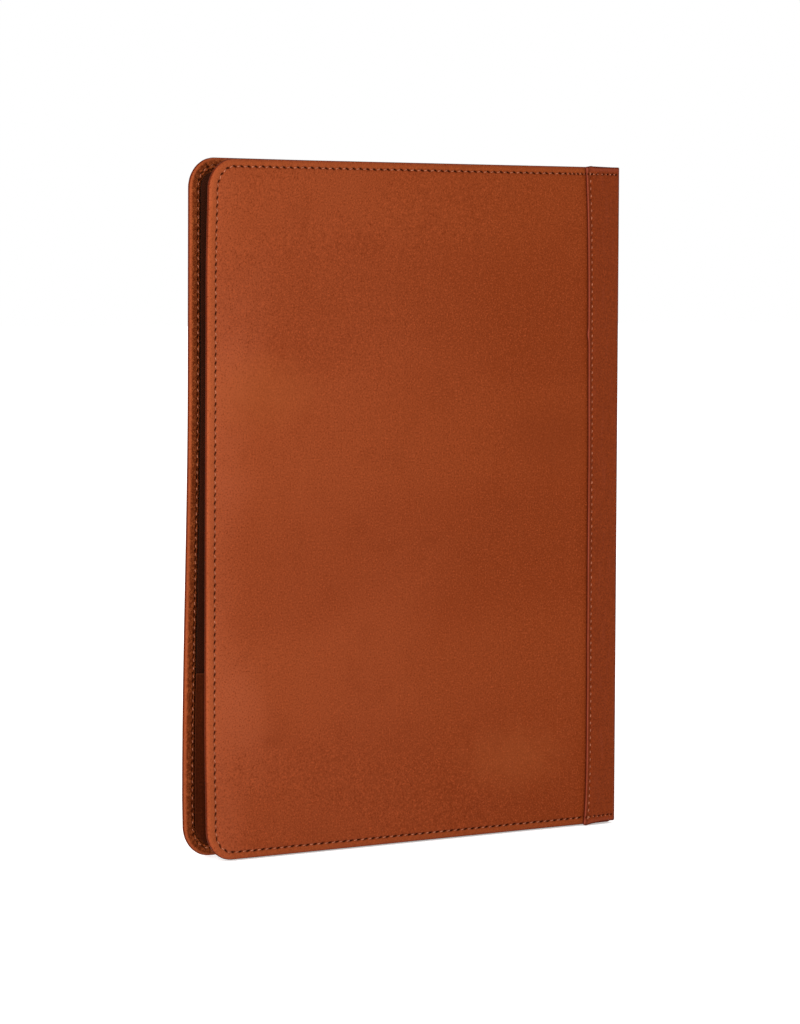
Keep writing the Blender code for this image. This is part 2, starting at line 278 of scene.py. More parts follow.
def plate(name, outline, near, far, material, spacing=4 * MM, side=None, bevel=0.0, wear_and_highlight=None):
    """A closed plate; near(x, z) and far(x, z) give the y of its two faces, wear(x, z) its worn parts."""
    flat, triangles = triangulate(spaced_outline(outline, spacing), spacing, spacing * 0.7)
    x, z = flat.T
    points = np.vstack([np.column_stack([x, face(x, z), z]) for face in (near, far)])
    count = len(flat)
    faces = list(triangles) + [tuple(i + count for i in reversed(t)) for t in triangles]
    used = dict.fromkeys((a, b) for t in triangles for a, b in zip(t, t[1:] + t[:1]))
    faces += [(b, a, a + count, b + count) for a, b in used if (b, a) not in used]
    if side:
        points = settle(points, side)
    values = {"wear_and_highlight": np.tile(wear_and_highlight(x, z), 2)} if wear_and_highlight else {}
    piece = new_object(name, points, faces, material, values, sharp=40)
    if bevel:
        modifier = piece.modifiers.new("soft_edges", "BEVEL")
        modifier.width = bevel
        modifier.segments = 3
        modifier.limit_method = "ANGLE"
        modifier.angle_limit = math.radians(50)
    return piece


def constant(value):
    return lambda x, z: np.full(len(x), value)


# ---- materials


class Shader:
    """A material under construction; each input is another node's output to link, or a plain value."""

    def __init__(self, name):
        self.material = bpy.data.materials.new(name)
        self.material.use_nodes = True
        self.tree = self.material.node_tree
        self.principled = self.tree.nodes["Principled BSDF"].inputs

    def add(self, kind, inputs, **settings):
        node = self.tree.nodes.new("ShaderNode" + kind)
        for key, value in settings.items():
            setattr(node, key, value)
        for key, value in inputs.items():
            if isinstance(value, bpy.types.NodeSocket):
                self.tree.links.new(value, node.inputs[key])
            else:
                node.inputs[key].default_value = value
        return node

    def math(self, operation, a, b=0.0, c=0.0, clamp=False):
        return self.add("Math", {0: a, 1: b, 2: c}, operation=operation, use_clamp=clamp).outputs[0]

    def wave(self, value, frequency):
        return self.math("SINE", self.math("MULTIPLY", value, frequency))

    def mix(self, factor, a, b, blend="MIX"):
        a, b = ((*tone, 1) if isinstance(tone, tuple) else tone for tone in (a, b))
        return self.add("Mix", {0: factor, 6: a, 7: b}, data_type="RGBA", blend_type=blend).outputs[2]

    def span(self, value, low, high, to_low=0.0, to_high=1.0):
        """A smooth step between two numbers as the value goes from low to high."""
        inputs = {"Value": value, "From Min": low, "From Max": high, "To Min": to_low, "To Max": to_high}
        return self.add("MapRange", inputs, interpolation_type="SMOOTHSTEP").outputs["Result"]

    def stained(self, colour, *stains):
        """The colour under stains, each a field, two of its values, a strength and a tone."""
        for field, low, high, strength, tone in stains:
            colour = self.mix(self.span(field, low, high, 0.0, strength), colour, tone)
        return colour

    def noise(self, coords, scale, detail=3.0, roughness=0.55, distortion=0.0):
        inputs = {"Vector": coords, "Scale": scale, "Detail": detail, "Roughness": roughness}
        return self.add("TexNoise", {**inputs, "Distortion": distortion}).outputs[0]

    def stretched(self, coords, scale):
        return self.add("Mapping", {"Vector": coords, "Scale": scale}).outputs["Vector"]

    def attribute(self, name, output="Fac"):
        return self.add("Attribute", {}, attribute_name=name).outputs[output]

    def object_coords(self):
        return self.add("TexCoord", {}).outputs["Object"]

    def axes(self, coords):
        return self.add("SeparateXYZ", {0: coords}).outputs

    def bump(self, height, distance, strength, under=None):
        inputs = {"Strength": strength, "Distance": distance, "Height": height}
        return self.add("Bump", {**inputs, "Normal": under} if under else inputs).outputs["Normal"]

    def finish(self, specular, colour, rough, normal, tint=(1, 1, 1)):
        self.principled["Specular IOR Level"].default_value = specular
        self.principled["Specular Tint"].default_value = (*tint, 1)
        for key, output in (("Base Color", colour), ("Roughness", rough), ("Normal", normal)):
            self.tree.links.new(output, self.principled[key])
        return self.material


def spot(node, rest, ragged, centre, radius, strength):
    """A soft, ragged patch round one place on the leather, half as tall as it is wide."""
    squeezed = node.stretched(rest, (1, 1, 2))
    middle = (centre[0], centre[1], 2 * centre[2])
    away = node.add("VectorMath", {0: squeezed, 1: middle}, operation="DISTANCE").outputs["Value"]
    stray = min(0.35 * radius, 4 * MM)
    reach = node.math("ADD", away, node.span(ragged, 0.3, 0.7, -stray, stray))
    return node.span(reach, 0.1 * radius, radius, strength, 0.0)


def leather(name, base, deep, light, inner, fore=None, marks=(), banded=1.0):
    """Full-grain leather: pores, creases and mottled dye; painted light that pales it towards the fore-edge;
    lighter worn edges with painted highlights on the strip's nose and the pleats' ridges; edges darkened by
    rubbing and by painted shade; and needle holes painted dark with the shade inside them.
    """
    node = Shader(name)
    fore = fore or base
    rest = node.attribute("rest", "Vector")
    axes = node.axes(rest)
    wide = node.noise(rest, 11.0, 2.0, 0.5, 0.6)
    cloud = node.noise(rest, 42.0, 4.0, 0.6, 0.4)
    blotch = node.noise(rest, 170.0, 5.0, 0.65, 0.3)
    speck = node.noise(rest, 1250.0, 4.0, 0.7)
    streaks = node.noise(node.stretched(rest, (720.0, 720.0, 60.0)), 1.0, 3.0, 0.6)
    pores = node.add("TexVoronoi", {"Vector": rest, "Scale": 1500.0}).outputs["Distance"]
    creases = node.noise(rest, 620.0, 6.0, 0.7, 1.2)
    wear_and_highlight, inside, rub_and_shade, hole = (node.attribute(key) for key in ("wear_and_highlight", "inner", "rub_and_shade", "hole"))

    # Painted light: the colour is palest towards the fore-edge, nearest the key lamp, and deepens towards the
    # spine; the dye lies in soft, level bands
    reach = node.math("ADD", axes["X"], node.span(wide, 0.3, 0.7, -0.016, 0.016))
    middle = tuple(0.62 * b + 0.38 * f for b, f in zip(base, fore))
    colour = node.mix(node.span(reach, -0.075, 0.085), middle, base)
    colour = node.mix(node.span(reach, -0.122, -0.08, 1.0, 0.0), colour, fore)
    waver = node.math("ADD", axes["Z"], node.span(wide, 0.2, 0.8, -0.016, 0.016))
    bands = node.math("SINE", node.math("MULTIPLY_ADD", waver, math.tau / BAND_STEP, BAND_START))
    colour = node.stained(
        colour,
        (bands, -0.9, 1.0, 0.17 * banded, deep),
        (bands, 0.6, -1.0, 0.09 * banded, light),
        (cloud, 0.5, 0.75, 0.22, deep),
        (blotch, 0.55, 0.8, 0.2, deep),
        (streaks, 0.5, 0.75, 0.1, light),
        (speck, 0.5, 0.7, 0.8, tuple(1.5 * b for b in middle)),
        (speck, 0.5, 0.3, 0.95, deep),
    )
    for centre, radius, strength, tone in marks:
        colour = node.mix(spot(node, rest, blotch, centre, radius, strength), colour, tone)
    patchy = node.math("MULTIPLY", wear_and_highlight, node.span(cloud, 0.3, 0.65, 0.6, 1.0))
    colour = node.mix(patchy, colour, light)

    fibres = node.noise(rest, 900.0, 5.0, 0.75, 0.8)
    uneven = node.noise(rest, 260.0, 3.0, 0.6, 0.5)
    flesh = node.stained(inner, (fibres, 0.44, 0.6, 1.0, light), (uneven, 0.42, 0.62, 0.5, inner),
                         (wear_and_highlight, 0.45, 1.0, 0.75, light))
    colour = node.mix(inside, colour, flesh)
    # Darker where the leather is rubbed and where shade is painted
    colour = node.mix(rub_and_shade, colour, RUB_AND_SHADE_TONE, "MULTIPLY")
    # Needle holes painted near black: painted shade inside them
    colour = node.mix(hole, colour, HOLE_SHADE_TONE)

    smooth_side = node.span(blotch, 0.3, 0.7, 0.5, 0.64)
    rough = node.math("MULTIPLY_ADD", inside, 0.25, smooth_side, clamp=True)
    grain = node.math("MULTIPLY_ADD", pores, -0.5, creases)
    raised = node.math("MULTIPLY", inside, fibres)
    fine = node.bump(node.math("MULTIPLY_ADD", raised, 6.0, grain), 0.08 * MM, 0.9)
    return node.finish(0.04, colour, rough, node.bump(blotch, 0.2 * MM, 0.35, fine), (1.0, 0.5, 0.25))


def thread_material():
    node = Shader("sewing_thread")
    rest = node.attribute("rest", "Vector")
    tone = node.noise(rest, 700.0, 3.0, 0.6)
    ply = node.noise(node.stretched(rest, (2600.0, 2600.0, 900.0)), 1.0, 2.0)
    colour = node.stained((0.24, 0.066, 0.028), (tone, 0.35, 0.65, 1.0, (0.37, 0.122, 0.060)),
                          (ply, 0.4, 0.6, 0.5, (0.15, 0.035, 0.012)))
    rough = node.span(tone, 0.3, 0.7, 0.6, 0.8)
    return node.finish(0.2, colour, rough, node.bump(ply, 0.08 * MM, 0.7))


def cloth_material(name, dark, light, threads=2200.0):
    """Fine twill: diagonal ribs crossed by single threads, with a slightly uneven dye."""
    node = Shader(name)
    rest = node.attribute("rest", "Vector")
    axes = node.axes(rest)
    diagonal = node.math("ADD", node.math("ADD", axes["X"], axes["Z"]), axes["Y"])
    ribs = node.wave(diagonal, threads * math.pi)
    weave = node.math("MULTIPLY_ADD", node.wave(axes["Z"], threads * 4.4), 0.5, ribs)
    tone = node.noise(rest, 60.0, 4.0, 0.6)
    fuzz = node.noise(rest, 1600.0, 2.0, 0.5)
    colour = node.stained(dark, (weave, -1.2, 1.2, 1.0, light), (tone, 0.35, 0.7, 0.6, dark),
                          (fuzz, 0.55, 0.8, 0.3, light))
    rough = node.span(fuzz, 0.3, 0.7, 0.75, 0.95)
    return node.finish(0.06, colour, rough, node.bump(weave, 0.08 * MM, 0.6))


def paper_material():
    """Pale writing paper with faint ruled lines on its face and sheet edges at its sides."""
    node = Shader("ruled_paper")
    coords = node.object_coords()
    axes = node.axes(coords)
    face = node.attribute("page")
    fibres = node.noise(coords, 900.0, 4.0, 0.6)
    tone = node.noise(coords, 20.0, 3.0, 0.5)
    colour = node.stained((0.51, 0.48, 0.40), (fibres, 0.35, 0.7, 0.5, (0.55, 0.53, 0.46)),
                          (tone, 0.4, 0.7, 0.3, (0.48, 0.44, 0.36)))
    line = node.math("FRACT", node.math("DIVIDE", axes["Z"], RULE_STEP))
    line = node.math("ABSOLUTE", node.math("SUBTRACT", line, 0.5))
    body = node.span(axes["Z"], HEAD_Z, HEAD_Z + 0.5 * MM, 1.0, 0.0)
    ruled = node.math("MULTIPLY", node.span(line, 0.468, 0.49, 0.0, 0.8), face)
    colour = node.mix(node.math("MULTIPLY", ruled, body), colour, (0.17, 0.26, 0.40))
    off = node.math("ABSOLUTE", node.math("SUBTRACT", axes["X"], MARGIN_RULE_X))
    rule = node.math("MULTIPLY", node.span(off, 0.22 * MM, 0.3 * MM, 0.8, 0.0), face)
    colour = node.mix(rule, colour, (0.42, 0.11, 0.11))
    ragged = node.noise(node.stretched(coords, (40.0, 6000.0, 40.0)), 1.0, 3.0)
    edge = node.math("SUBTRACT", 1.0, face)
    shade = node.math("MULTIPLY", node.span(ragged, 0.4, 0.62, 0.0, 0.45), edge)
    colour = node.mix(shade, colour, (0.33, 0.30, 0.24))
    rough = node.span(fibres, 0.3, 0.7, 0.82, 0.95)
    return node.finish(0.2, colour, rough, node.bump(node.wave(axes["Y"], 52000.0), 0.02 * MM, 0.3))


def card_material(name, pale, dark):
    node = Shader(name)
    coords = node.object_coords()
    flecks = node.noise(coords, 1400.0, 4.0, 0.7)
    cloud = node.noise(coords, 90.0, 4.0, 0.6)
    colour = node.stained(pale, (flecks, 0.4, 0.66, 1.0, dark), (cloud, 0.35, 0.7, 0.5, dark))
    rough = node.span(cloud, 0.3, 0.7, 0.85, 0.95)
    return node.finish(0.1, colour, rough, node.bump(flecks, 0.05 * MM, 0.5))


def tape_material():
    node = Shader("binding_cloth_tape")
    coords = node.object_coords()
    axes = node.axes(coords)
    weave = node.math("MULTIPLY", node.wave(axes["X"], 9000.0), node.wave(axes["Z"], 9000.0))
    tone = node.noise(coords, 120.0, 4.0, 0.6)
    colour = node.stained((0.055, 0.0125, 0.0070), (weave, -0.6, 0.6, 1.0, (0.100, 0.026, 0.014)),
                          (tone, 0.4, 0.7, 0.25, (0.040, 0.009, 0.005)))
    rough = node.span(tone, 0.3, 0.7, 0.6, 0.8)
    return node.finish(0.1, colour, rough, node.bump(weave, 0.05 * MM, 0.5))


# fore is a paler, pinker tone towards the fore-edge: painted light from the key lamp on that side
TAN = dict(base=(0.163, 0.0262, 0.0050), fore=(0.234, 0.0490, 0.0175), deep=(0.116, 0.0170, 0.0032),
           light=(0.250, 0.057, 0.0150), inner=(0.105, 0.0175, 0.0038))
STRIP_TONE = dict(base=(0.142, 0.0226, 0.0049), deep=(0.096, 0.0135, 0.0030),
                  light=(0.255, 0.053, 0.031), inner=(0.07, 0.012, 0.003))
BROWN = dict(base=(0.040, 0.0066, 0.0018), deep=(0.024, 0.0038, 0.0011),
             light=(0.080, 0.018, 0.006), inner=(0.025, 0.005, 0.002))

# Natural marks in the front hide: place, size, strength and tone
HIDE_MARKS = (
    ((-0.092, -FACE, 0.212), 48 * MM, 0.34, TAN["light"]),
    ((0.058, -FACE, 0.036), 46 * MM, 0.30, TAN["light"]),
    ((0.080, -FACE, 0.190), 44 * MM, 0.30, TAN["deep"]),
    ((0.008, -FACE, 0.141), 8 * MM, 0.22, TAN["deep"]),
    ((-0.084, -FACE, 0.052), 10 * MM, 0.24, TAN["deep"]),
    ((-0.0905, -FACE, 0.291), 0.8 * MM, 0.9, (0.40, 0.12, 0.05)),
    ((-0.018, -FACE, 0.142), 0.7 * MM, 0.6, (0.33, 0.09, 0.03)),
    ((-0.1189, -FACE + 0.2 * MM, 0.209), 0.9 * MM, 0.7, TAN["deep"]),
    ((-0.1194, -FACE + 0.3 * MM, 0.202), 0.9 * MM, 0.7, TAN["deep"]),
)

cover_leather = leather("tan_cover_leather", **TAN, marks=HIDE_MARKS)
strip_leather = leather("tan_strip_leather", **STRIP_TONE, banded=0.0)
pocket_leather = leather("brown_pocket_leather", **BROWN)
thread = thread_material()
lining_cloth = cloth_material("brown_lining_twill", (0.022, 0.0040, 0.0010), (0.046, 0.0095, 0.0030))
hinge_cloth = cloth_material("brown_hinge_twill", (0.020, 0.0035, 0.0010), (0.040, 0.0085, 0.0028), 1600.0)
paper = paper_material()
backing_card = card_material("grey_backing_card", (0.40, 0.35, 0.27), (0.27, 0.23, 0.17))
stiff_card = card_material("dark_stiff_board", (0.030, 0.014, 0.008), (0.014, 0.006, 0.003))
tape = tape_material()


# ---- stitch paths


STRAIGHT = END_X - (FORE_X + CORNER)
UPRIGHT = HEIGHT - 2 * CORNER
CORNER_RUN = math.pi / 2 * (CORNER - (INSET_TOP + INSET_FORE) / 2)
ENDS = np.cumsum((STRAIGHT, CORNER_RUN, UPRIGHT, CORNER_RUN))

# The perimeter's runs of stitches, from the bottom of the strip round to its top
TIGHT_RUN = END_X - STRIP_X + 14 * MM
LONG_RUN = STRAIGHT - TIGHT_RUN
RUNS = (TIGHT_RUN, LONG_RUN, CORNER_RUN, UPRIGHT, CORNER_RUN, LONG_RUN, TIGHT_RUN)
RUN_PITCH = (3.8 * MM, 4.2 * MM, 3.8 * MM, 3.7 * MM, 3.8 * MM, 3.95 * MM, TIGHT_PITCH)
RUN_STITCHES = [round(length / pitch) for length, pitch in zip(RUNS, RUN_PITCH)]
STITCHES = sum(RUN_STITCHES)
BOTTOM_STITCHES = RUN_STITCHES[0] + RUN_STITCHES[1]


def stitch_to_length(number):
    """Distance along the perimeter of a position counted in stitches; each run has its own pitch."""
    return np.interp(number, np.append(0, np.cumsum(RUN_STITCHES)), np.append(0, np.cumsum(RUNS)))


def perimeter(q):
    """At distances q along the stitch line: the edge's (x, z), the way inwards, and the inset."""
    x, z = END_X - q, 0 * q
    nx, nz = 0 * q, 0 * q + 1
    inset = np.full_like(q, INSET_TOP)
    turn = FORE_X + CORNER
    for n, centre_z, start, insets in ((0, CORNER, 270, (INSET_TOP, INSET_FORE)),
                                       (2, HEIGHT - CORNER, 180, (INSET_FORE, INSET_TOP))):
        part = (q > ENDS[n]) & (q <= ENDS[n + 1])
        t = (q[part] - ENDS[n]) / CORNER_RUN
        angle = np.radians(start - 90 * t)
        nx[part], nz[part] = -np.cos(angle), -np.sin(angle)
        x[part], z[part] = turn - CORNER * nx[part], centre_z - CORNER * nz[part]
        inset[part] = insets[0] + (insets[1] - insets[0]) * smooth(0, 1, t)
    part = (q > ENDS[1]) & (q <= ENDS[2])
    x[part], z[part], nx[part], nz[part] = FORE_X, CORNER + q[part] - ENDS[1], 1, 0
    inset[part] = INSET_FORE
    part = q > ENDS[3]
    x[part], z[part], nx[part], nz[part] = turn + q[part] - ENDS[3], HEIGHT, 0, -1
    return x, z, nx, nz, inset


def corner_share(q):
    """1 in the middle of a round corner and 0 along the straight edges."""
    first = STRAIGHT + CORNER_RUN / 2
    second = first + CORNER_RUN + UPRIGHT
    off = np.minimum(abs(q - first), abs(q - second))
    return smooth(CORNER_RUN * 0.62, CORNER_RUN * 0.35, off)


def stitch_samples(count, step):
    shares = np.array([0, 0.05, 0.12, 0.2, 0.32, 0.68, 0.8, 0.88, 0.95])
    return np.append((np.arange(count)[:, None] + shares).ravel(), count) * step


HOLE_DRIFT = np.random.default_rng(19).normal(0, 0.09 * MM, 997)


def needle_holes(along, step, across, long=0.98 * MM, wide=0.38 * MM, slant=24):
    """Depth, 0 to 1, of slanted slots punched every step along a line."""
    number = np.round(along / step).astype(int)
    off = along - number * step + HOLE_DRIFT[number % 997]
    across = across + HOLE_DRIFT[(number * 7 + 3) % 997] * 0.7
    cos, sin = np.cos(np.radians(slant)), np.sin(np.radians(slant))
    return np.exp(-(abs(off * cos + across * sin) / long) ** 3) * bell(across * cos - off * sin, wide)


def tiled(vector, count):
    return np.tile(np.array(vector, float), (count, 1))


def thread_row(locate, first, last, lift, lean=-0.3 * MM, tight=()):
    """Points and faces of one capsule a stitch. locate(s) gives point, inwards and outwards vectors
    at stitch position s, counted in stitches; the stitches in tight show less thread."""
    rings, sides = 9, 8
    t = np.linspace(-1, 1, rings)
    shape = np.sqrt(np.clip(1 - abs(t) ** 6, 0, 1)) * 0.92 + 0.08
    sink = 0.62 * MM * abs(t) ** 2.6
    a = math.tau * np.arange(sides)[:, None] / sides
    tube = lattice(rings, sides, closed=True)
    tube += [tuple(reversed(range(sides))), tuple(range((rings - 1) * sides, rings * sides))]
    points, faces = [], []
    for n in range(first, last):
        half = 0.2 if n in tight else 0.26
        where, inwards, outwards = locate(n + 0.5 + half * t)
        slant = t * lean * half / 0.3 + rng.normal(0, 0.03 * MM)
        centre = where + outwards * (lift - sink)[:, None] + inwards * slant[:, None]
        thick = THREAD_R * rng.uniform(0.92, 1.08) * shape
        faces += [tuple(i + len(points) for i in f) for f in tube]
        for r in range(rings):
            points += list(centre[r] + thick[r] * (np.cos(a) * inwards[r] + 0.85 * np.sin(a) * outwards[r]))
    return points, faces


def straight(start, step, inwards, outwards):
    """Stitch places along a straight line that moves on by the same step each stitch."""
    def locate(s):
        return np.array(start) + np.outer(s, step), tiled(inwards, len(s)), tiled(outwards, len(s))
    return locate


def thread_line(start, end, outwards, lift=0.1 * MM):
    """Stitches along a straight line between two points."""
    run = np.subtract(end, start)
    long = np.linalg.norm(run)
    count = max(1, round(long / PITCH))
    return thread_row(straight(start, run / count, np.cross(run / long, outwards), outwards), 0, count, lift)


def laid_on(face, row):
    """A row of stitches moved in y onto the surface face(x, z)."""
    points = np.array(row[0])
    points[:, 1] += face(points[:, 0], points[:, 2])
    return points, row[1]


def settled(rows, side):
    return [(settle(points, side), faces) for points, faces in rows]


def sew(name, rows, body, replaced=()):
    """One piece of several rows of stitches."""
    points, faces = [], []
    for row_points, row_faces in rows:
        faces += [tuple(i + len(points) for i in f) for f in row_faces]
        points += list(row_points)
    place(new_object(name, np.array(points), faces, thread), body, replaced)


# ---- covers


def edge_rub_and_shade(inset, depth):
    """The turned edge is darker along its middle, where it is roundest: rubbed leather, with painted shade
    where the edge turns from the light.
    """
    off_middle = abs(1 - 2 * depth / EDGE)
    return 0.95 * smooth(0.58, 0.36, off_middle) * smooth(1.6 * MM, 0.8 * MM, inset)


PLEAT = 0.45 * MM
RECESS = 1.3 * MM


def cover_profile(side, numbers):
    """Loops of the turned edge, from the outer face round to the recess inside the cover."""
    q = stitch_to_length(numbers)
    x, z, nx, nz, inset = perimeter(q)
    corner = corner_share(q)
    slant = np.where(numbers < BOTTOM_STITCHES, -14, 24)
    half = EDGE / 2
    roll = 2.0 * MM
    loops = []

    def rounded(s):
        return half * (1 - np.sqrt(np.clip(1 - np.clip(1 - s / roll, 0, 1) ** 2, 0, 1)))

    def add(s, depth, wear_and_highlight, hole=0, inner=0):
        loops.append([value + 0 * q for value in (s, depth, wear_and_highlight, hole, inner)])

    for step in (3.6, 2.7, 1.9, 1.3, 0.9, 0.6, 0.35, 0.15, 0.0, -0.15, -0.35, -0.6, -0.9, -1.25):
        off = step * MM
        groove = 0.20 * MM * bell(off, 0.42 * MM) + 0.10 * MM * bell(off, 1.4 * MM)
        hole = needle_holes(numbers * PITCH, PITCH, off, slant=slant)
        pucker = 0.05 * MM * np.cos(math.tau * numbers) * bell(off, 1.3 * MM)
        depth = groove + 0.42 * MM * hole + pucker + rounded(inset + off)
        add(inset + off, depth, 0.32 * smooth(0.5 * MM, -0.9 * MM, off), np.clip(1.25 * hole, 0, 1))
    for share in (1.85, 1.45, 1.1, 0.78, 0.5, 0.28, 0.12, 0.03):
        s = share * MM
        add(s, rounded(s) - 0.05 * MM * bell(s - 1.9 * MM, 0.9 * MM), 0.32 * smooth(0.2, 1.6, share))
    add(0, half, 0)
    fibre = wave_noise(q, 1.9 * MM, 11 + side) * 0.05 * MM
    pleat = PLEAT * corner * (0.5 + 0.5 * np.cos(math.tau * q / (CORNER_RUN / 6.5)))
    # Lighter on the pleats' ridges: wear, and painted highlight where the ridges catch the light
    ridge_wear_and_highlight = 0.5 * corner * (1 - pleat / PLEAT)
    for share in (0.03, 0.12, 0.28, 0.5, 0.78, 1.1, 1.5, 1.95):
        depth = EDGE - rounded(share * MM) + fibre * smooth(0.4, 1.6, share) - pleat * smooth(0.8, 2.0, share)
        add(share * MM, depth, 0.2, inner=smooth(0.55, 1.5, share))
    for n, step in enumerate((-1.2, -0.8, -0.5, -0.25, 0.0, 0.25, 0.5, 0.75)):
        s = np.minimum(inset + step * MM, MARGIN - 0.12 * MM * (8 - n))
        s = np.maximum(s, (2.2 + 0.22 * n) * MM)
        groove = 0.22 * MM * bell(s - inset, 0.45 * MM)
        hole = needle_holes(numbers * PITCH, PITCH, s - inset)
        rough = wave_noise(q, (1.3 + 0.2 * n) * MM, 40 + n + side) * 0.07 * MM
        add(s, EDGE - groove - 0.4 * MM * hole + rough - pleat, 0.4 + ridge_wear_and_highlight, np.clip(hole, 0, 1), 1)
    ragged = MARGIN + 0.22 * MM * wave_noise(q, 9 * MM, 70 + side) - 0.5 * pleat
    ragged += 0.1 * MM * wave_noise(q, 2.2 * MM, 80 + side)
    for step, depth in ((-0.12, EDGE), (0.0, EDGE - 0.14 * MM), (0.05, EDGE - 0.7 * MM), (0.06, RECESS)):
        drop = depth - (pleat if depth > EDGE - 0.5 * MM else 0)
        add(ragged + step * MM, drop, 0.2, inner=1)
    points = [np.column_stack([x + nx * s, side * (FACE - depth), z + nz * s]) for s, depth, *_ in loops]
    columns = [np.concatenate(column) for column in zip(*loops)]
    values = dict(zip(("wear_and_highlight", "hole", "inner"), columns[2:]))
    # The turned edge's middle is darker: rubbed leather and painted shade
    values["rub_and_shade"] = edge_rub_and_shade(columns[0], columns[1])
    return points, values


def make_cover(side):
    """The cover's leather: outer face, turned edge with its sewing, and the recess inside."""
    name = NAME[side]
    numbers = stitch_samples(STITCHES, 1.0)
    loops, values = cover_profile(side, numbers)
    rows, columns = len(loops), len(numbers)
    points = np.vstack(loops)
    faces = lattice(rows, columns)

    for row, depth, is_inner in ((0, 0.0, 0.0), (rows - 1, RECESS, 1.0)):
        ring = points[row * columns:(row + 1) * columns]
        flat, triangles = triangulate(ring[:, [0, 2]], 5 * MM, 3 * MM)
        extra = flat[columns:]
        base = len(points)
        sunk = depth + 0.05 * MM * patch_noise(extra[:, 0], extra[:, 1], 0.07, 5 + side)
        new = np.column_stack([extra[:, 0], side * (FACE - sunk), extra[:, 1]])
        points = np.vstack([points, new])
        for key in values:
            values[key] = np.append(values[key], np.full(len(new), is_inner if key == "inner" else 0.0))
        index = list(range(row * columns, (row + 1) * columns)) + list(range(base, base + len(new)))
        faces += [tuple(index[i] for i in t) for t in triangles]
    piece = new_object(name + "_cover_leather_skin", settle(points, side), faces, cover_leather, values, 50)
    place(piece, BODY[side], [name + "_cover_leather"])


def make_perimeter_stitches(side):
    """Every stitch round a cover, outside and inside, and on the strip's flap."""
    name = NAME[side]

    def sewn(depth, raised, way):
        """Places of stitches this far below the outer face, and less deep in the round corners."""
        def locate(s):
            q = stitch_to_length(s)
            x, z, nx, nz, inset = perimeter(q)
            y = side * (FACE - depth + raised * corner_share(q))
            where = np.column_stack([x + nx * inset, y, z + nz * inset])
            return where, np.column_stack([nx, 0 * nx, nz]), tiled((0, way * side, 0), len(x))
        return locate

    first, last = (math.ceil((END_X - STRIP_X) / RUN_PITCH[end]) for end in (0, -1))
    tight = range(STITCHES - RUN_STITCHES[-1], STITCHES)
    rows = [
        thread_row(sewn(0.24 * MM, 0, 1), first, STITCHES - last, 0.06 * MM, tight=tight),
        thread_row(sewn(EDGE - 0.2 * MM, 0.3 * MM, -1), 1, STITCHES - 1, 0.06 * MM),
    ]
    rows = settled(rows, side)
    for height in (INSET_TOP, HEIGHT - INSET_TOP):
        start = (FLAP_STITCH_START, side * (STRIP_FACE - 0.22 * MM), height)
        on_flap = straight(start, (TIGHT_PITCH, 0, 0), (0, 0, 1), (0, side, 0))
        rows.append(thread_row(on_flap, 0, FLAP_STITCHES, 0.06 * MM, tight=range(FLAP_STITCHES)))
    sew(name + "_perimeter_stitches", rows, BODY[side], [name + "_perimeter_stitching"])


# ---- spine strip


FLAP_STITCH_START = STRIP_X + 0.9 * MM
FLAP_STITCHES = 6
SEAM_START = 1.6 * MM
SEAM_STITCHES = round((HEIGHT - 2 * SEAM_START) / (3.53 * MM))
SEAM_STEP = (HEIGHT - 2 * SEAM_START) / SEAM_STITCHES
SPINE_HALF = strip_high.y - FOLD_OUTER
NUB = {FRONT: (1.0, 236.8 * MM), REAR: (0.4, 90 * MM)}  # strength and height of a small bump in the edge


def edge_flare(z):
    """How far the strip's sewn edge strays towards the fore-edge, most near the top and bottom."""
    top = 2.3 * MM * np.exp(-np.clip(HEIGHT - z, 0, 1) / (28 * MM)) + 0.5 * MM * smooth(0.16, 0.26, z)
    bottom = 1.6 * MM * np.exp(-np.clip(z, 0, 1) / (12 * MM)) - 0.25 * MM * smooth(0.12, 0.04, z)
    return top + bottom + 0.07 * MM * wave_noise(z, 45 * MM, 21)


